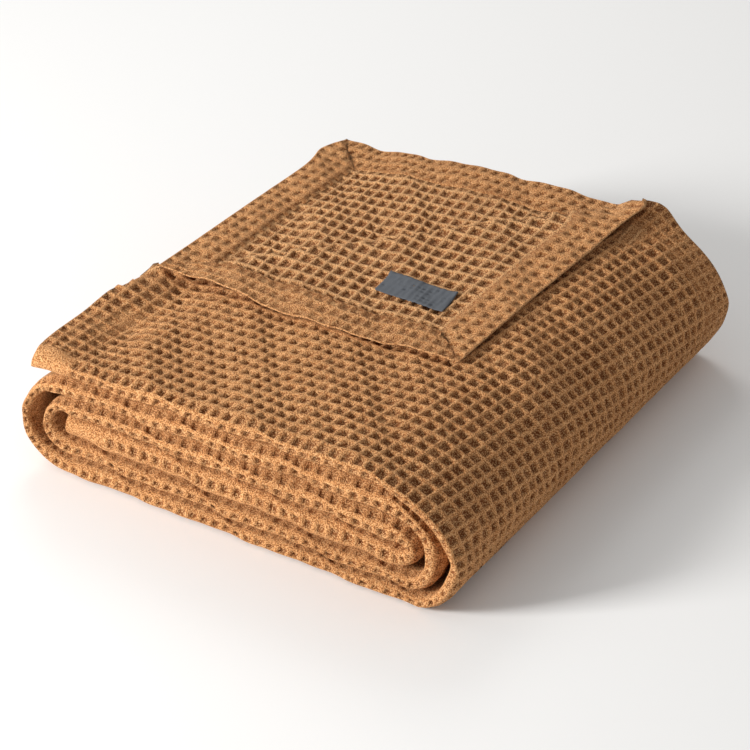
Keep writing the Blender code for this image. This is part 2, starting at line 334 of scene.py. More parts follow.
def hem_turn(t):
    """How far in from the folded edge, and how far onto the wrong side, cloth lies."""
    radius = HEM_RISE / 2.0
    quarter = math.pi * radius / 2.0
    angle = np.clip(t / radius, -math.pi / 2.0, math.pi / 2.0)
    inwards = np.where(np.abs(t) > quarter, np.abs(t) - quarter + radius,
                       radius * (1.0 - np.cos(angle)))
    rise = radius * (1.0 - np.sin(angle)) * (1.0 - ease((-t - HEM + HEM_TUCK) / HEM_TUCK))
    return inwards, rise


def cloth_point(s, w):
    """Points of the cloth: s along the strip from its outer end, w across the cloth."""
    in_s, rise_s = hem_turn(np.minimum(s, LENGTH - s))
    in_w, rise_w = hem_turn(np.minimum(w, WIDTH - w))
    s = np.where(s < LENGTH / 2.0, in_s, LENGTH - in_s)
    w = np.where(w < WIDTH / 2.0, in_w, WIDTH - in_w)
    side = -(rise_s + rise_w - rise_s * rise_w / HEM_RISE)
    x, z, nx, nz, thick, back = [np.interp(s, STRIP_S, STRIP[:, i]) for i in range(6)]
    size = np.hypot(nx, nz)
    y, n, side_y, side_n = across(w, thick)
    n = n + side_n * side
    y_back = y + side_y * side
    y_back = y_back + back * (1.0 - y_back / STRIP_DEPTH)
    wound = settle(x + nx / size * n, y_back, z + nz / size * n)
    c, r = s, y - CORNER_FROM
    past, radius = past_bend(c, r)
    is_turned = (w < CORNER) & (s < CORNER) & (past > -math.pi * radius / 2.0)
    return np.where(is_turned[..., None], turned(c, r, side), wound)


# The waffle weave: cotton floats raised round hollow cells, ten millimetres apart.
# The right side has small hollows in a broad field, and the wrong side thin ridges
# round large hollows. The finished cloth is skewed, so its lines lean.
CELL_ALONG = 0.0098
CELL_ACROSS = 0.01072
FLAP_CELL = 0.01226
UNDER_CELL_ALONG = 0.01007
UNDER_CELL_ACROSS = 0.0122
LINES_IN_CELL = (0.20, 0.30, 0.70, 0.80)
FLOOR_LINES = (0.30, 0.70)
FLOOR_LINES_WITHIN = 0.25
CELL_LINES_WITHIN = 0.40
WRONG_RIDGE_TOP = 0.48
WRONG_RIDGE_FOOT = 0.62
TURN_OPENS = 1.28
OPENS_FROM = 20
OPENS_FULLY = 29
CLOSES_FROM = 42
CLOSES_FULLY = 48
LEFT_OPENS = 1.1
LEFT_OPENS_FROM = 24
LEFT_OPENS_FULLY = 9
NEAR_OPENS = 0.4
LEAN = 0.12
LEAN_CELLS = 90.0
FLAP_LEAN = 0.06
FLAP_LEAN_LENGTH = 0.08
FLAP_BLEND = 0.040
FLAP_SPARE = 0.05
UNDER_LEAN = -0.09
UNDER_LEAN_AT = 0.28
FRONT_HEM_CELL = 5
FLAP_HEM_CELL = 6
UNDER_HEM_CELL = 1
CORNER_CELL = 29
CORNER_SPARE_CELLS = 3
RAMP_CELLS = 10
END_CELL = CORNER_CELL + round((LENGTH - CORNER) / CELL_ALONG)
INNER_CELL = (LENGTH - CORNER) / (END_CELL - CORNER_CELL)


# Here u and v count cells along the strip and across it, s and w are metres in the
# cloth, and w0 is w before the weave leans or opens.
def kept_place(u, w0):
    """Distances along the cloth on the top leaf's kept part."""
    kept = CORNER + (u - CORNER_CELL) * CELL_ALONG - LEAN * w0
    edge = CORNER + (FRONT_HEM_CELL - CORNER_CELL) * CELL_ALONG - LEAN * w0
    return kept - edge * (1.0 - ease((u - FRONT_HEM_CELL) / RAMP_CELLS))


def flap_share(u, w0):
    """One on the turned corner, none on the kept part, and soft in the bend."""
    share = ease((CORNER - w0 - kept_place(u, w0) + FLAP_BLEND) / FLAP_BLEND)
    return share * (w0 < CORNER + FLAP_SPARE) * (u < CORNER_CELL)


def wrong_share(u, w0):
    """One where the wrong side shows: on the turned corner and the leaf below."""
    flap = flap_share(u, w0) * (w0 > 0.0) * (u > FLAP_HEM_CELL)
    under = ((w0 > UNDER_START) * (w0 < WIDTH) * (u > UNDER_HEM_CELL)
             * (u < CORNER_CELL + CORNER_SPARE_CELLS))
    return np.maximum(flap, under)


def opened_share(u, w0):
    """How far the right side's cells are pulled open: on the large turn, left and near."""
    opened = ease((u - OPENS_FROM) / (OPENS_FULLY - OPENS_FROM))
    opened = opened * (1.0 - ease((u - CLOSES_FROM) / (CLOSES_FULLY - CLOSES_FROM)))
    opened = opened + LEFT_OPENS * ease((u - LEFT_OPENS_FROM) / (LEFT_OPENS_FULLY - LEFT_OPENS_FROM))
    opened = np.maximum(opened, NEAR_OPENS * ease((w0 - NEAR_START) / CELL_ACROSS + 1.0))
    return opened * (w0 > 0.0) * (w0 < NEAR_END)


def drawn(value, wrong, opened):
    """Cell counts, drawn to thin ridges on the wrong side and to open cells where pulled."""
    middle = np.floor(value) + 0.5
    away = np.abs(value - middle)
    on_wrong = np.where(away < FLOOR_LINES_WITHIN, WRONG_RIDGE_TOP, WRONG_RIDGE_FOOT)
    in_cell = mix(mix(1.0, TURN_OPENS, opened), on_wrong, wrong)
    factor = np.where(away < CELL_LINES_WITHIN, in_cell, 1.0)
    return middle + (value - middle) * factor


def lattice_places(u, w0):
    """Where the lattice's crossings lie in the cloth, leaning and widening by leaf."""
    kept = kept_place(u, w0)
    flap = CORNER + (u - CORNER_CELL) * FLAP_CELL
    is_flap = flap_share(u, w0)
    inner = CORNER + (u - CORNER_CELL) * INNER_CELL
    leaning = 1.0 - ease((u - END_CELL + LEAN_CELLS) / LEAN_CELLS)
    kept = np.where(u > CORNER_CELL, inner - LEAN * w0 * leaning, kept)
    top = mix(kept, flap, is_flap)
    y_under = STRIP_DEPTH - (WIDTH - w0)
    under = (u - UNDER_HEM_CELL) * UNDER_CELL_ALONG
    under = np.where(u > CORNER_CELL, inner, under)
    under_lean = UNDER_LEAN * (y_under - UNDER_LEAN_AT)
    under = under + under_lean * ease((u - UNDER_HEM_CELL) / RAMP_CELLS) * leaning
    to_under = ease((w0 - NEAR_END) / (UNDER_START - NEAR_END))
    s = mix(top, under, to_under)
    widen = ease((w0 - HEM) / FLAP_LEAN_LENGTH) * is_flap
    w = w0 + FLAP_LEAN * (s - CORNER / 2.0) * widen * (w0 < NEAR_START)
    return s, w


def within_cloth(s, w):
    """Crossings beyond the raw edges drawn back to them, and the corners mitred."""
    s = np.clip(s, -HEM, LENGTH + HEM)
    w = np.clip(w, -HEM, WIDTH + HEM)
    turned_s = np.maximum(np.maximum(-s, s - LENGTH), 0.0)
    turned_w = np.maximum(np.maximum(-w, w - WIDTH), 0.0)
    mitre = np.maximum(turned_s, turned_w)
    inner_s = np.clip(s, mitre, LENGTH - mitre)
    inner_w = np.clip(w, mitre, WIDTH - mitre)
    corner = (turned_s > 0.0) & (turned_w > 0.0)
    end_s = np.where(s < LENGTH / 2.0, -mitre, LENGTH + mitre)
    new_s = np.where(turned_w > 0.0, np.where(corner, end_s, inner_s), s)
    new_w = np.where(turned_s > 0.0, inner_w, w)
    return new_s, new_w


# The mesh's lines run along the lattice where the cloth shows, four to a cell. They
# are few where it lies hidden, in the pile and under the turned-back corner.
Lines = namedtuple("Lines", "at floor")
Leaf = namedtuple("Leaf", "origin sign cell")
TOP_LEAF = Leaf(0.0, 1.0, CELL_ACROSS)
FAR_LEAF = Leaf((FAR_START + FAR_END) / 2.0 - 0.5 * CELL_ACROSS, 1.0, CELL_ACROSS)
UNDER_LEAF = Leaf(WIDTH, -1.0, UNDER_CELL_ACROSS)
PART_OF_CELL = 0.25
RAW_EDGE_SPARE = 0.1
FOLD_CELLS_BEFORE = 0.65
FOLD_CELLS_PAST = 0.4
UNDER_CELLS = 24.0
INNER_FOLD_STEPS = 2
HIDDEN_SPARE = 0.01
HIDDEN_STEP = 0.19
SPARSE_TOP = (0.132, 0.275)
SPARSE_UNDER = (0.110, 0.220)
EDGE_NEAR = 0.003
BAND_NEAR = 0.008


def lattice_lines(first, last, extra=()):
    """The lattice's mesh lines from one cell to another, and which edge its floors."""
    lines = [(cell + part, float(part in FLOOR_LINES))
             for cell in range(math.floor(first), math.ceil(last) + 1) for part in LINES_IN_CELL]
    lines += [(float(line), 0.0) for line in extra]
    lines = sorted(line for line in lines if first < line[0] < last)
    return Lines(np.array([line[0] for line in lines]), np.array([line[1] for line in lines]))


def along_lines():
    """Mesh lines along the whole cloth, counted in cells."""
    hem_cells = HEM / CELL_ALONG
    edges = (FRONT_HEM_CELL, FLAP_HEM_CELL, UNDER_HEM_CELL, END_CELL)
    return lattice_lines(UNDER_HEM_CELL - hem_cells - 1, END_CELL + hem_cells, edges)


def leaf_lines(leaf, first, last, extra=()):
    """Mesh lines across one leaf, counted in cells from its hem or fold."""
    return [(leaf.origin + leaf.sign * leaf.cell * at, floor, leaf.sign * at)
            for at, floor in zip(*lattice_lines(first, last, extra))]


def line_kind(place, kind):
    """A line's kind. On a hem's band it follows from how near the band's edges it is."""
    beyond = max(-place, place - WIDTH)
    if beyond <= 0.0:
        return kind
    if not EDGE_NEAR < beyond < HEM - EDGE_NEAR:
        return "hem"
    return "top leaf" if beyond < BAND_NEAR else "band"


def hidden_lines():
    """The few lines across the leaves and the fold that nobody sees."""
    middle = (INNER_START + UNDER_START) / 2.0
    places = [middle + step * SMALL_FOLD_LENGTH / 2.0
              for step in range(-INNER_FOLD_STEPS, INNER_FOLD_STEPS + 1)]
    under_end = WIDTH - UNDER_CELLS * UNDER_CELL_ACROSS
    for start, end in ((NEAR_END + HIDDEN_SPARE, FAR_START - HIDDEN_SPARE),
                       (FAR_END + HIDDEN_SPARE, INNER_START - HIDDEN_SPARE),
                       (UNDER_START + 2.0 * HIDDEN_SPARE, under_end - HIDDEN_SPARE / 2.0)):
        count = max(round((end - start) / HIDDEN_STEP), 1)
        places += [mix(start, end, step / count) for step in range(count + 1)]
    return [(place, 0.0, 0.0, "coarse") for place in places]


def across_lines():
    """Mesh lines across the whole cloth: place, floor, cell count and kind."""
    fold_from = NEAR_START / CELL_ACROSS - FOLD_CELLS_BEFORE
    fold_to = NEAR_END / CELL_ACROSS + FOLD_CELLS_PAST
    fold_edges = range(math.ceil(fold_from), math.ceil(fold_to))
    bands = [(leaf_lines(leaf, RAW_EDGE_SPARE - HEM / leaf.cell, PART_OF_CELL, (0,)), "hem")
             for leaf in (TOP_LEAF, UNDER_LEAF)]
    bands += [
        (leaf_lines(TOP_LEAF, PART_OF_CELL, fold_from), "top leaf"),
        (leaf_lines(TOP_LEAF, fold_from, fold_to, fold_edges), "near fold"),
        (leaf_lines(FAR_LEAF, -PART_OF_CELL, 1.0 + PART_OF_CELL, (0, 1)), "far fold"),
        (leaf_lines(UNDER_LEAF, PART_OF_CELL, UNDER_CELLS), "under leaf"),
    ]
    lines = [(-HEM, 0.0, -HEM / CELL_ACROSS, "hem"), (WIDTH + HEM, 0.0, 0.0, "hem")]
    lines += [(place, floor, count, line_kind(place, kind))
              for band, kind in bands for place, floor, count in band]
    lines += hidden_lines()
    lines += [(place, 0.0, 0.0, "sparse top") for place in SPARSE_TOP]
    lines += [(WIDTH - place, 0.0, 0.0, "sparse under") for place in SPARSE_UNDER]
    return sorted(lines)


ALONG = along_lines()
ACROSS_W, ACROSS_FLOOR, ACROSS_CELL, ACROSS_KIND = [np.array(column) for column in zip(*across_lines())]

# Every crossing of the lines, first as a place in the flat cloth, then as a point
# of the folded one, with the direction that its right side faces.
SIDE_STEP = 0.0004
SHORTEST = 1e-12

U, W0 = np.meshgrid(ALONG.at, ACROSS_W, indexing="ij")
V = np.broadcast_to(ACROSS_CELL, U.shape)
is_wrong = wrong_share(U, W0)
opened = opened_share(U, W0)
U_WOVEN, V_WOVEN = drawn(U, is_wrong, opened), drawn(V, is_wrong, opened)
cell_across = np.where(W0 < WIDTH / 2.0, CELL_ACROSS, UNDER_CELL_ACROSS)
W_WOVEN = W0 + (V_WOVEN - V) * cell_across
S_PLACE, W_PLACE = within_cloth(*lattice_places(U_WOVEN, W_WOVEN))
rest_shape = cloth_point(S_PLACE, W_PLACE)
along = cloth_point(S_PLACE + SIDE_STEP, W_PLACE) - cloth_point(S_PLACE - SIDE_STEP, W_PLACE)
sideways = cloth_point(S_PLACE, W_PLACE + SIDE_STEP) - cloth_point(S_PLACE, W_PLACE - SIDE_STEP)
right_side = np.cross(sideways, along)
right_side /= np.maximum(np.linalg.norm(right_side, axis=-1, keepdims=True), SHORTEST)

# The relief of the weave, by the parts of the cloth that a point can lie on: the
# hems' bands, the cloth beside them, the side that shows, and the turns, which
# end where the wound strip goes into the pile.
OUTER_TURN_SPARE = 0.01
LEFT_TURN_BEFORE = 0.025
LEFT_TURN_SPARE = 0.005
WRONG_SPARE = 0.03


def strip_end(index):
    """The outer leaf's length at the end of a turn, counted from the first."""
    return STRIP_S[(index + 1) * (STEPS_IN_RUN + 2 * STEPS_IN_QUARTER)]


OUTER_TURN_END = strip_end(0) + OUTER_TURN_SPARE
LEFT_TURN_START = OUTER_TURN_END + RUNS[1].right - RUNS[1].left - LEFT_TURN_BEFORE
LEFT_TURN_END = strip_end(1) + LEFT_TURN_SPARE
turned_s = np.maximum(np.maximum(-S_PLACE, S_PLACE - LENGTH), 0.0)
turned_w = np.maximum(np.maximum(-W_PLACE, W_PLACE - WIDTH), 0.0)
on_band = (turned_s > 0.0) | (turned_w > 0.0)
from_edge = np.minimum(np.minimum(np.abs(S_PLACE), np.abs(LENGTH - S_PLACE)),
                       np.minimum(np.abs(W_PLACE), np.abs(WIDTH - W_PLACE)))
past, radius = past_bend(np.abs(S_PLACE), STRIP_DEPTH - np.abs(W_PLACE) - CORNER_FROM)
on_flap = (W0 < NEAR_START) & (S_PLACE < CORNER) & (W_PLACE < CORNER) & (past > -radius)
shows_wrong = (on_flap | (W0 > UNDER_START) & (S_PLACE < CORNER + WRONG_SPARE)) & ~on_band
band_shows = (W0 < NEAR_START) & (S_PLACE < CORNER) & (past > 0.0) | (W0 > UNDER_START)

# The hollows sink between the floats, each a little deeper or shallower than the
# next. They are pressed flatter under and beside the hems, and in the sharp folds.
HOLLOW_RIGHT = 0.0027
HOLLOW_WRONG = 0.0024
HOLLOW_VARIES = 0.25
CELLS_VARIED = (400, 200)
PRESSED = 0.85
PRESSED_REACH = 0.004
BESIDE_BAND_FROM = 0.004
BESIDE_BAND_REACH = 0.010
FRONT_BAND_PRESSED = 0.55
CREASE_WIDE = 0.0055
CREASE_FLAT = 0.80
CREASE_STARTS = 0.02

rng = np.random.default_rng(7)
variation = rng.uniform(1.0 - HOLLOW_VARIES, 1.0 + HOLLOW_VARIES, CELLS_VARIED)
cell_u = np.floor(U).astype(int) % CELLS_VARIED[0]
cell_v = np.floor(V).astype(int) % CELLS_VARIED[1]
depth_varies = variation[cell_u, cell_v]
pressed = 1.0 - (1.0 - PRESSED) * (1.0 - ease((from_edge - HEM) / PRESSED_REACH))
beside_band = ~on_band & (np.where(W0 < NEAR_START, past, CORNER) > 0.0)
pressed_beside = ease((from_edge - HEM + BESIDE_BAND_FROM) / BESIDE_BAND_REACH)
pressed = np.where(beside_band, pressed_beside, pressed)
pressed = np.where((turned_s > 0.0) & (W_PLACE < CORNER), FRONT_BAND_PRESSED, pressed)
crease = ease((S_PLACE - OUTER_TURN_END) / CREASE_STARTS)
crease = crease * np.exp(-((W_PLACE - NEAR_START) / CREASE_WIDE) ** 2)
crease = crease + np.exp(-((W_PLACE - NEAR_END) / CREASE_WIDE) ** 2)
right_floor = np.outer(ALONG.floor, ACROSS_FLOOR)
wrong_floor = 1.0 - np.maximum(ALONG.floor[:, None], ACROSS_FLOOR[None, :])
wrong_floor = wrong_floor * (ACROSS_KIND != "coarse")
hollow = np.where(shows_wrong, wrong_floor, right_floor) * depth_varies * (1.0 - CREASE_FLAT * crease)
relief = np.where(shows_wrong, hollow * HOLLOW_WRONG, -hollow * HOLLOW_RIGHT) * pressed

# The seams: a row of lockstitch beside each hem's inner edge and along each mitre.
# Its thread is thin and has the cloth's own colour, so what shows is the groove that it pulls into the
# soft cloth, which the material darkens with painted shade.
SEAM_AT = HEM - 0.0025
SEAM_WIDE = 0.0024
SEAM_DEEP = 0.0009
SEAM_ON_BAND = 0.8
SEAM_ON_WRONG = 0.3
SEAM_ON_RIGHT = 0.25

seam = np.exp(-((from_edge - SEAM_AT) / SEAM_WIDE) ** 2)
seam = seam * np.where(on_band, SEAM_ON_BAND, np.where(shows_wrong, SEAM_ON_WRONG, SEAM_ON_RIGHT))
mitre = np.exp(-((np.abs(np.minimum(W_PLACE, WIDTH - W_PLACE))
                  - np.abs(np.minimum(S_PLACE, LENGTH - S_PLACE))) / SEAM_WIDE) ** 2)
groove = np.maximum(seam, np.where(on_band, mitre, 0.0)) * SEAM_DEEP
relief = relief - groove * np.where(shows_wrong, -1.0, 1.0)

# Bands and leaves that lie hidden are sunk a little, so that they don't come through
# the hollows of the cloth over them. Where it meets the floor, the sheet is lowered
# by half the cloth's thickness to lie on it.
LEAF_SUNK = 0.0013
BAND_SUNK = 0.0022
BAND_EDGE = 0.006
BEND_END_WIDE = 0.010
FLOOR_REACH = 0.012

behind = (W_PLACE > UNDER_START) & (U > CORNER_CELL + CORNER_SPARE_CELLS)
relief = relief + np.where(behind, LEAF_SUNK, 0.0)
at_bend_end = (1.0 - ease(from_edge / BAND_EDGE)) * (1.0 - ease(np.abs(past) / BEND_END_WIDE))
relief = relief * (1.0 - at_bend_end)
relief = np.where(on_band & ~band_shows, BAND_SUNK * ease(from_edge / BAND_EDGE), relief)
points = rest_shape + right_side * relief[..., None]
points[..., 2] -= CLOTH_THICK / 2.0 * np.exp(-np.maximum(points[..., 2], 0.0) / FLOOR_REACH)
points[..., 2] = np.maximum(points[..., 2], 0.0)

# The cloth as one sheet, from its outer end inwards. Each row keeps the lines that
# show there, and its points carry what the material needs to know of the weave.
COVERED_SPARE = 0.030
COVERED_CELLS = 25
MOST_HOLLOW = 1.5
MERGED_WITHIN = 0.00001
SMALLEST_FACE = 1e-12


def lines_used(row):
    """Which lines across the cloth a row of the mesh keeps."""
    u = ALONG.at[row]
    s = CORNER + (u - CORNER_CELL) * INNER_CELL
    top = u < CORNER_CELL + 1
    outer = s < OUTER_TURN_END or LEFT_TURN_START < s < LEFT_TURN_END
    kinds = ["hem", "near fold", "far fold", "coarse", "top leaf" if top or outer else "sparse top"]
    if top:
        kinds.append("band")
    covered = CORNER + HEM
    if u <= COVERED_CELLS:
        covered = (u - UNDER_HEM_CELL) * UNDER_CELL_ALONG - COVERED_SPARE
    elif top:
        covered = 0.0
    under = np.where(ACROSS_W > WIDTH - CORNER + covered, "under leaf", "sparse under")
    return np.isin(ACROSS_KIND, kinds) | (ACROSS_KIND == under)


def zipped(a, b):
    """Triangles between two rows that keep different lines."""
    faces, i, j = [], 0, 0
    while i < len(a) - 1 or j < len(b) - 1:
        if j == len(b) - 1 or (i < len(a) - 1 and a[i + 1][0] <= b[j + 1][0]):
            faces.append((a[i][1], a[i + 1][1], b[j][1]))
            i += 1
        else:
            faces.append((a[i][1], b[j + 1][1], b[j][1]))
            j += 1
    return faces


def cloth_faces(masks):
    """Quads between rows that keep the same lines, and triangles between the others."""
    numbers = np.full(masks.shape, -1)
    numbers[masks] = np.arange(masks.sum())
    faces = []
    for row in range(len(masks) - 1):
        if (masks[row] == masks[row + 1]).all():
            a, b = numbers[row][masks[row]], numbers[row + 1][masks[row]]
            faces += np.stack((a[:-1], a[1:], b[1:], b[:-1]), axis=1).tolist()
        else:
            rows = [list(zip(np.flatnonzero(masks[i]), numbers[i][masks[i]].tolist()))
                    for i in (row, row + 1)]
            faces += zipped(*rows)
    return faces


def merge_mitres(mesh):
    """Make points that meet in a mitre one, and drop faces left double or without area."""
    work = bmesh.new()
    work.from_mesh(mesh)
    bmesh.ops.remove_doubles(work, verts=work.verts, dist=MERGED_WITHIN)
    seen, doubled = set(), []
    for face in work.faces:
        corners = frozenset(face.verts)
        if corners in seen or face.calc_area() < SMALLEST_FACE:
            doubled.append(face)
        seen.add(corners)
    bmesh.ops.delete(work, geom=doubled, context="FACES")
    bmesh.ops.delete(work, geom=[v for v in work.verts if not v.link_faces], context="VERTS")
    work.to_mesh(mesh)
    work.free()


def cloth_mesh():
    """The whole cloth, with how hollow, sewn or turned over it is at each point."""
    masks = np.array([lines_used(row) for row in range(len(ALONG.at))])
    mesh = bpy.data.meshes.new("blanket_cloth")
    mesh.from_pydata(points[masks].tolist(), [], cloth_faces(masks))
    # How hollow a point is and how deep its seam groove is also set where the material paints shade,
    # and on the wrong side a highlight.
    values = {"hollow": np.clip(hollow * pressed, 0.0, MOST_HOLLOW),
              "wrong": shows_wrong.astype(float), "groove": groove / SEAM_DEEP}
    for name, value in values.items():
        mesh.attributes.new(name, "FLOAT", "POINT").data.foreach_set(
            "value", value[masks].astype(np.float32))
    weave = np.stack((U_WOVEN, V_WOVEN, np.zeros_like(U)), axis=-1)
    mesh.attributes.new("weave", "FLOAT_VECTOR", "POINT").data.foreach_set(
        "vector", weave[masks].astype(np.float32).ravel())
    merge_mitres(mesh)
    mesh.shade_smooth()
    return mesh


def linear(hex_colour):
    """An sRGB hex colour as linear RGBA."""
    parts = [int(hex_colour[i:i + 2], 16) / 255.0 for i in (1, 3, 5)]
    return tuple(p / 12.92 if p <= 0.04045 else ((p + 0.055) / 1.055) ** 2.4
                 for p in parts) + (1.0,)


def add_node(tree, kind, inputs=None, **settings):
    """A node with its settings, its input values and its links."""
    node = tree.nodes.new(kind)
    for name, value in settings.items():
        setattr(node, name, value)
    for key, value in (inputs or {}).items():
        if isinstance(value, bpy.types.NodeSocket):
            tree.links.new(value, node.inputs[key])
        else:
            node.inputs[key].default_value = value
    return node


# Soft spun cotton, woven and then piece dyed golden brown. Its raised floats catch the light, and on
# the wrong side their crests get a painted highlight; its hollows and the seams' grooves get a darker,
# redder painted shade, and short fibres blur every yarn. On the wrong side the yarns step down into
# each hollow in square rings, drawn as rings of painted shade.
FLOAT_COLOUR = "#D1925A"
# Painted shade for the hollows and the seams' grooves.
HOLLOW_PAINTED_SHADE_COLOUR = "#6A3512"
SHADE_COLOUR = "#7A4520"
# The cotton's own pale flecks, and the painted highlight on the wrong side's crests.
PALE_FLECK_AND_HIGHLIGHT_COLOUR = "#F3C088"
SHEEN_COLOUR = "#E8C79A"
COTTON_SURFACE = {"Roughness": 0.93, "Specular IOR Level": 0.2, "Sheen Weight": 0.12,
                  "Sheen Roughness": 0.45, "Sheen Tint": linear(SHEEN_COLOUR)}
# A yarn is 0.55 mm thick, less than a pixel, so it is drawn twice as thick.
YARN = 0.00055
DRAWN_YARN = 2.0 * YARN
FLECKS_IN_YARN = 1.2
YARN_RELIEF = 1.2 * DRAWN_YARN
# The dye is uneven in patches about 38 mm wide.
DYE_PATCH = 0.0385
# The yarns step down into a hollow 1 mm apart, too fine to show, so the rings of painted shade are
# drawn 3 mm apart.
RING_STEP = 0.003
RINGS_IN_CELL = round(UNDER_CELL_ACROSS / RING_STEP)
# How much the rings of painted shade deepen or lighten the hollows' painted shade.
RING_PAINTED_SHADE = 0.10
# How much painted shade the seams' grooves take.
SEAM_PAINTED_SHADE = 0.45

# A share that follows a pattern, in the order of a Map Range node's inputs.
Fade = namedtuple("Fade", "start end share_start share_end")
# The hollows' painted shade grows with how hollow a point is.
HOLLOW_PAINTED_SHADE_FADE = Fade(0.05, 0.90, 0.0, 0.92)
# On the wrong side the crests round the hollows get a painted highlight.
CREST_PAINTED_HIGHLIGHT = Fade(0.0, 0.35, 0.55, 0.0)
DARK_FLECKS = Fade(0.50, 0.62, 0.0, 0.85)
PALE_FLECKS = Fade(0.48, 0.38, 0.0, 0.75)
DYE_FADE = Fade(0.3, 0.7, 0.0, 0.18)


def cell_rings(tree):
    """Square rings in each cell, as a wave from minus one to one."""
    half = (0.5, 0.5, 0.0)
    weave = add_node(tree, "ShaderNodeAttribute", attribute_name="weave").outputs["Vector"]
    place = add_node(tree, "ShaderNodeVectorMath", {0: weave, 1: half}, operation="ADD")
    place = add_node(tree, "ShaderNodeVectorMath", {0: place.outputs[0]}, operation="FRACTION")
    place = add_node(tree, "ShaderNodeVectorMath", {0: place.outputs[0], 1: half},
                     operation="SUBTRACT")
    place = add_node(tree, "ShaderNodeVectorMath", {0: place.outputs[0]}, operation="ABSOLUTE")
    place = add_node(tree, "ShaderNodeSeparateXYZ", {0: place.outputs[0]})
    ring = add_node(tree, "ShaderNodeMath", {0: place.outputs[0], 1: place.outputs[1]},
                    operation="MAXIMUM")
    ring = add_node(tree, "ShaderNodeMath", {0: ring.outputs[0], 1: math.tau * RINGS_IN_CELL},
                    operation="MULTIPLY")
    return add_node(tree, "ShaderNodeMath", {0: ring.outputs[0]}, operation="COSINE").outputs[0]


def cotton_colour(tree, fibre, patch):
    """The dyed floats, with painted shade, a painted highlight, and the cotton's own flecks and dye
    patches over them.
    """
    hollow_in, wrong_in, groove_in = [
        add_node(tree, "ShaderNodeAttribute", attribute_name=name).outputs["Fac"]
        for name in ("hollow", "wrong", "groove")]
    # The hollows take painted shade by their depth, and on the wrong side also in rings.
    ring = add_node(tree, "ShaderNodeMath", {0: cell_rings(tree), 1: wrong_in}, operation="MULTIPLY")
    deep = add_node(tree, "ShaderNodeMath", {0: ring.outputs[0], 1: RING_PAINTED_SHADE, 2: hollow_in},
                    operation="MULTIPLY_ADD")
    deep, painted_crest_highlight, dark, pale, faded = [
        add_node(tree, "ShaderNodeMapRange", dict(enumerate((pattern, *fade)))).outputs[0]
        for pattern, fade in ((deep.outputs[0], HOLLOW_PAINTED_SHADE_FADE), (hollow_in, CREST_PAINTED_HIGHLIGHT),
                              (fibre, DARK_FLECKS), (fibre, PALE_FLECKS), (patch, DYE_FADE))]
    # The painted highlight stays on the wrong side.
    painted_crest_highlight = add_node(tree, "ShaderNodeMath", {0: painted_crest_highlight, 1: wrong_in}, operation="MULTIPLY").outputs[0]
    # The seams' grooves get painted shade.
    sewn = add_node(tree, "ShaderNodeMath", {0: groove_in, 1: SEAM_PAINTED_SHADE},
                    operation="MULTIPLY").outputs[0]
    colour = linear(FLOAT_COLOUR)
    for share, shade in ((deep, HOLLOW_PAINTED_SHADE_COLOUR), (painted_crest_highlight, PALE_FLECK_AND_HIGHLIGHT_COLOUR), (dark, SHADE_COLOUR),
                         (pale, PALE_FLECK_AND_HIGHLIGHT_COLOUR), (faded, SHADE_COLOUR), (sewn, HOLLOW_PAINTED_SHADE_COLOUR)):
        colour = add_node(tree, "ShaderNodeMix", {0: share, 6: colour, 7: linear(shade)},
                          data_type="RGBA").outputs[2]
    return colour


def cotton_waffle():
    finish = bpy.data.materials.new("cotton waffle")
    finish.use_nodes = True
    tree = finish.node_tree
    shader = tree.nodes["Principled BSDF"]
    place = add_node(tree, "ShaderNodeTexCoord").outputs["Object"]
    fibre = add_node(tree, "ShaderNodeTexNoise", {
        "Vector": place, "Scale": FLECKS_IN_YARN / DRAWN_YARN, "Detail": 1.0, "Roughness": 0.5})
    patch = add_node(tree, "ShaderNodeTexNoise",
                     {"Vector": place, "Scale": 1.0 / DYE_PATCH, "Detail": 3.0})
    colour = cotton_colour(tree, fibre.outputs[0], patch.outputs[0])
    tree.links.new(colour, shader.inputs["Base Color"])
    height = add_node(tree, "ShaderNodeMath", {0: fibre.outputs[0], 1: -1.0, 2: 1.0},
                      operation="MULTIPLY_ADD")
    bump = add_node(tree, "ShaderNodeBump",
                    {"Strength": 1.0, "Distance": YARN_RELIEF, "Height": height.outputs[0]})
    tree.links.new(bump.outputs[0], shader.inputs["Normal"])
    for name, value in COTTON_SURFACE.items():
        shader.inputs[name].default_value = value
    return finish


def add_piece(name, mesh, finish):
    """A new piece that rides on the part's one body."""
    mesh.materials.append(finish)
    piece = bpy.data.objects.new(name, mesh)
    bpy.context.collection.objects.link(piece)
    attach(piece, "root")
    return piece


blanket = add_piece("blanket_cloth", cloth_mesh(), cotton_waffle())
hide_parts("blanket")


# The label: woven polyester tape, charcoal grey and bare, cut to length with its
# ends turned under, and sewn near the corner on the wrong side. It lies stiff on
# the highest ridges under it, with its own corners curled up a little.
LABEL_LENGTH = 0.060
LABEL_WIDTH = 0.028
LABEL_THICK = 0.0008
LABEL_AT = (0.2095, 0.2155)
LABEL_SKEW = 0.11
LABEL_COLUMNS = 40
LABEL_ROWS = 20
LABEL_CLEAR = 0.0004
LABEL_CURL = 0.0012
LABEL_CURL_POWERS = (6, 2)
LABEL_BRIDGES = 0.004
LABEL_ON_HIGHEST = 0.6
LABEL_ON_MEAN = 0.4
ABOVE_PILE = 0.3


def label_height(surface, x, y):
    """How high stiff woven tape rests on the cloth round a point."""
    steps = (-LABEL_BRIDGES, 0.0, LABEL_BRIDGES)
    heights = [surface.ray_cast(Vector((x + i, y + j, ABOVE_PILE)), Vector((0, 0, -1)))[0].z
               for i in steps for j in steps]
    return max(heights) * LABEL_ON_HIGHEST + sum(heights) / len(heights) * LABEL_ON_MEAN


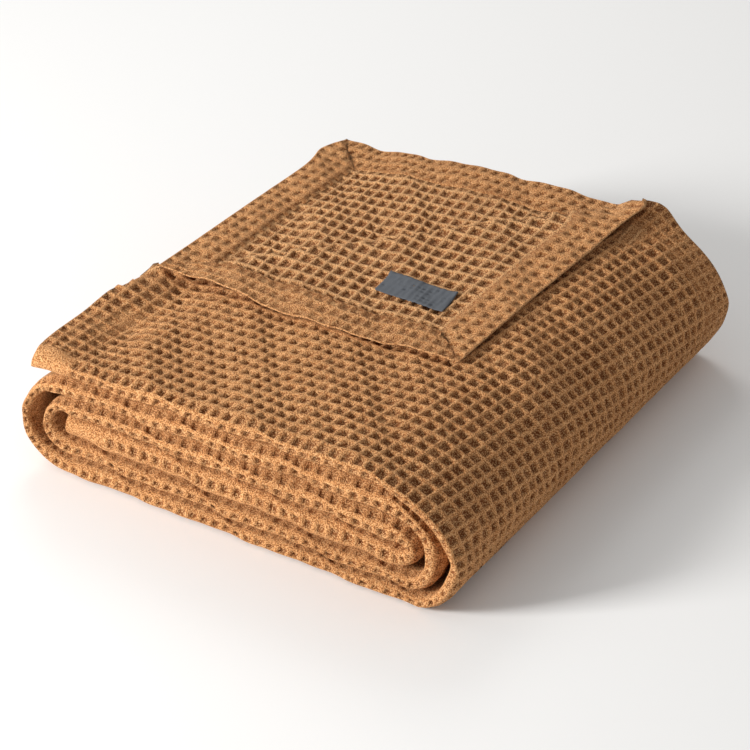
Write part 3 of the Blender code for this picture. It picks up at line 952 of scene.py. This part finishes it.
def label_points(mesh, surface, lift):
    """One face of the label, row by row."""
    grid = []
    for row in range(LABEL_ROWS + 1):
        for column in range(LABEL_COLUMNS + 1):
            a, b = column / LABEL_COLUMNS - 0.5, row / LABEL_ROWS - 0.5
            x = STRIP_AT[0] + LABEL_AT[0] + a * LABEL_LENGTH - b * LABEL_WIDTH * LABEL_SKEW
            y = STRIP_AT[1] + LABEL_AT[1] + b * LABEL_WIDTH
            to_end, to_side = abs(2.0 * a) ** LABEL_CURL_POWERS[0], abs(2.0 * b) ** LABEL_CURL_POWERS[1]
            z = label_height(surface, x, y) + LABEL_CLEAR + to_end * to_side * LABEL_CURL + lift
            grid.append(mesh.verts.new((x, y, z)))
    return grid


def label_mesh():
    surface = BVHTree.FromObject(blanket, bpy.context.evaluated_depsgraph_get())
    mesh = bmesh.new()
    top, under = [label_points(mesh, surface, lift) for lift in (LABEL_THICK, 0.0)]
    wide = LABEL_COLUMNS + 1
    for row in range(LABEL_ROWS):
        for column in range(LABEL_COLUMNS):
            i = row * wide + column
            mesh.faces.new((top[i], top[i + 1], top[i + wide + 1], top[i + wide]))
            mesh.faces.new((under[i], under[i + wide], under[i + wide + 1], under[i + 1]))
    rim = (list(range(LABEL_COLUMNS)) + [row * wide + LABEL_COLUMNS for row in range(LABEL_ROWS)]
           + [LABEL_ROWS * wide + LABEL_COLUMNS - i for i in range(LABEL_COLUMNS)]
           + [(LABEL_ROWS - row) * wide for row in range(LABEL_ROWS)])
    for i, j in zip(rim, rim[1:] + rim[:1]):
        mesh.faces.new((top[j], top[i], under[i], under[j]))
    bmesh.ops.recalc_face_normals(mesh, faces=mesh.faces)
    data = bpy.data.meshes.new("label_weave")
    mesh.to_mesh(data)
    mesh.free()
    data.shade_smooth()
    return data


# Filament polyester, woven dense and left matt: a dark even grey with a faint rib.
# Its threads are 0.2 mm apart, finer than a pixel, so the rib is drawn 1.2 mm wide
# and the grain 1.1 mm. A wave texture's bands are tau / 20 apart at a scale of one.
LABEL_COLOUR = "#464A50"
LABEL_LIGHT = "#53575D"
LABEL_RIB = 0.001208
LABEL_GRAIN = 0.001111
LABEL_RELIEF = 0.0002
WAVE_BAND = math.tau / 20.0


def woven_label():
    finish = bpy.data.materials.new("woven label")
    finish.use_nodes = True
    tree = finish.node_tree
    shader = tree.nodes["Principled BSDF"]
    place = add_node(tree, "ShaderNodeTexCoord").outputs["Object"]
    rib = add_node(tree, "ShaderNodeTexWave",
                   {"Vector": place, "Scale": WAVE_BAND / LABEL_RIB, "Distortion": 0.4},
                   bands_direction="Y")
    grain = add_node(tree, "ShaderNodeTexNoise",
                     {"Vector": place, "Scale": 1.0 / LABEL_GRAIN, "Detail": 2.0})
    both = add_node(tree, "ShaderNodeMath", {0: rib.outputs["Fac"], 1: grain.outputs[0]},
                    operation="MULTIPLY")
    colour = add_node(tree, "ShaderNodeMix", {
        0: both.outputs[0], 6: linear(LABEL_COLOUR), 7: linear(LABEL_LIGHT)}, data_type="RGBA")
    tree.links.new(colour.outputs[2], shader.inputs["Base Color"])
    bump = add_node(tree, "ShaderNodeBump",
                    {"Strength": 0.5, "Distance": LABEL_RELIEF, "Height": both.outputs[0]})
    tree.links.new(bump.outputs[0], shader.inputs["Normal"])
    shader.inputs["Roughness"].default_value = 0.6
    return finish


label = add_piece("label_weave", label_mesh(), woven_label())
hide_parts("label")


# The studio: the camera at the pile's near right, looking down at its near face.
# A strong soft lamp stands at the near left and a weak one at the back left.
CAMERA_AZIMUTH = math.radians(32.36)
CAMERA_ELEVATION = math.radians(31.51)
CAMERA_LENS = 109.76
CAMERA_SENSOR = 36.0
CAMERA_DISTANCE = 1.74254
CAMERA_LOOKS_AT = (STRIP_AT[0] + 0.19506, STRIP_AT[1] + 0.17962, 0.050)
Lamp = namedtuple("Lamp", "name place size power")
LAMPS = (
    Lamp("key", (-1.40, -1.85, 0.95), 0.6, 76.0),
    Lamp("back", (-1.1, 1.3, 1.6), 0.9, 10.0),
)


def add_camera():
    aim = Vector((-math.sin(CAMERA_AZIMUTH) * math.cos(CAMERA_ELEVATION),
                  math.cos(CAMERA_AZIMUTH) * math.cos(CAMERA_ELEVATION),
                  -math.sin(CAMERA_ELEVATION)))
    data = bpy.data.cameras.new("camera")
    data.lens = CAMERA_LENS
    data.sensor_width = CAMERA_SENSOR
    camera = bpy.data.objects.new("camera", data)
    camera.location = Vector(CAMERA_LOOKS_AT) - aim * CAMERA_DISTANCE
    camera.rotation_euler = aim.to_track_quat("-Z", "Y").to_euler()
    bpy.context.collection.objects.link(camera)
    bpy.context.scene.camera = camera


def add_lamp(lamp):
    """A square soft light that faces the pile."""
    data = bpy.data.lights.new(lamp.name, "AREA")
    data.size = lamp.size
    data.energy = lamp.power
    light = bpy.data.objects.new(lamp.name, data)
    light.location = lamp.place
    light.rotation_euler = (-Vector(lamp.place)).to_track_quat("-Z", "Y").to_euler()
    bpy.context.collection.objects.link(light)


add_camera()
for lamp in LAMPS:
    add_lamp(lamp)


# Seamless background paper under the pile, matt and nearly white, with no edge in
# sight. It lies a hair below the pile. The white surround softens every shadow.
FLOOR_SIZE = 8.0
FLOOR_DROP = 0.0005
FLOOR_COLOUR = "#F4F3F1"
SURROUND_COLOUR = "#FFFFFF"
SURROUND_STRENGTH = 0.47


def pale_paper():
    finish = bpy.data.materials.new("pale paper")
    finish.use_nodes = True
    shader = finish.node_tree.nodes["Principled BSDF"]
    shader.inputs["Base Color"].default_value = linear(FLOOR_COLOUR)
    shader.inputs["Roughness"].default_value = 0.9
    return finish


def add_floor():
    mesh = bmesh.new()
    bmesh.ops.create_grid(mesh, x_segments=1, y_segments=1, size=FLOOR_SIZE / 2.0)
    data = bpy.data.meshes.new("floor")
    mesh.to_mesh(data)
    mesh.free()
    data.materials.append(pale_paper())
    floor = bpy.data.objects.new("floor", data)
    floor.location.z = -FLOOR_DROP
    bpy.context.collection.objects.link(floor)


def add_surround():
    world = bpy.data.worlds.new("white surround")
    world.use_nodes = True
    back = world.node_tree.nodes["Background"]
    back.inputs["Color"].default_value = linear(SURROUND_COLOUR)
    back.inputs["Strength"].default_value = SURROUND_STRENGTH
    bpy.context.scene.world = world
    bpy.context.scene.view_settings.view_transform = "Standard"


add_floor()
add_surround()
